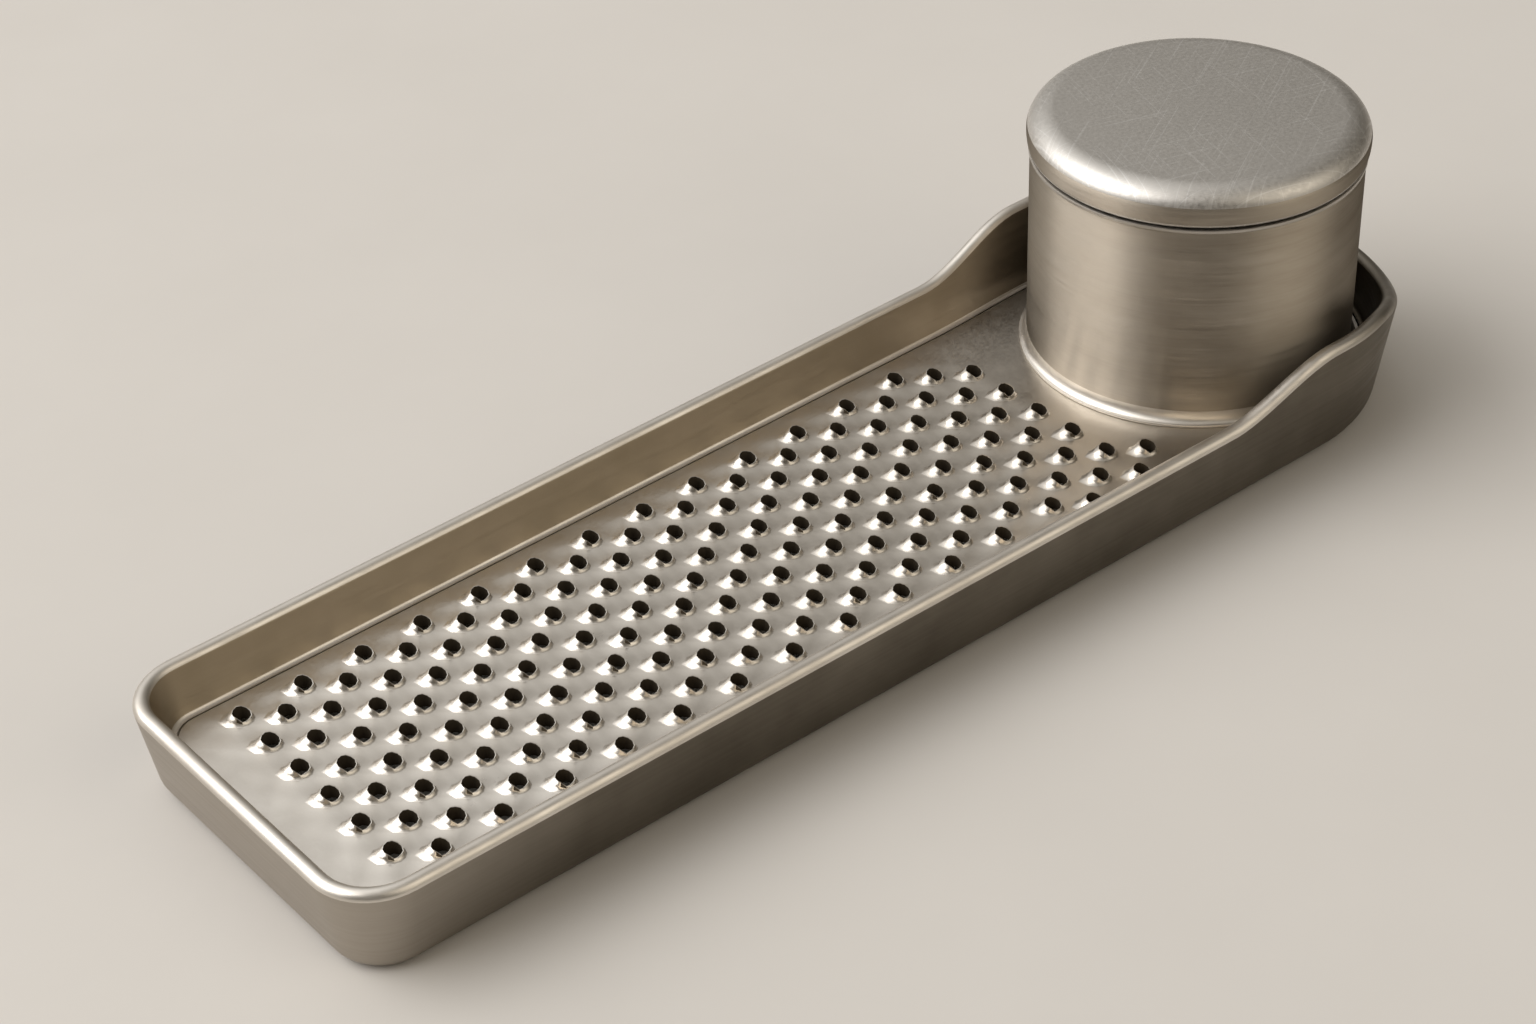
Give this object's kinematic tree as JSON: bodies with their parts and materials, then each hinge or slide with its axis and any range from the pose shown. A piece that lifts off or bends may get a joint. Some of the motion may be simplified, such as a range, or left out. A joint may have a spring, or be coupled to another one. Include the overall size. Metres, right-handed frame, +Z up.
{
  "type": "nutmeg grater",
  "caption": "Flat metal nutmeg grater: a rimmed tray with a plate of punched teeth, and a round nutmeg canister with a pull-off lid at its end.",
  "frame": {"origin": "under the middle of the part's bounding box, at the height of the flange that it stands on", "axes": "+X along the tray towards the canister, +Z up along the canister's axis, +Y towards the long side whose rim rises first"},
  "size_m": [0.1446, 0.045, 0.0331],
  "materials": {
    "satin_steel": "satin, fine lengthwise grain",
    "brushed_steel": "fine brushing round the canister",
    "polished_steel": "soft polish with hairline scratches",
    "plain_steel": "plain mill finish",
    "soft_seal": "matt, pale"
  },
  "bodies": {
    "grater": {"tray_shell": "satin_steel", "plate_bearer": "satin_steel", "grater_plate": "satin_steel", "canister_wall": "brushed_steel", "canister_floor": "plain_steel", "floor_rivet_1": "plain_steel", "floor_rivet_2": "plain_steel", "floor_rivet_3": "plain_steel", "neck_ring": "brushed_steel"},
    "seal": {"lid_seal": "soft_seal"},
    "lid": {"lid_shell": "polished_steel", "lid_collar": "plain_steel"}
  },
  "joints": [
    {"name": "lid_lift", "type": "slide", "parent": "grater", "child": "seal", "axis": [0, 0, 1], "range_m": [0, 0.03]},
    {"name": "lid_turn", "type": "hinge", "parent": "seal", "child": "lid", "pos_m": [0.0504, 0, 0.0304], "axis": [0, 0, 1], "continuous": true}
  ]
}
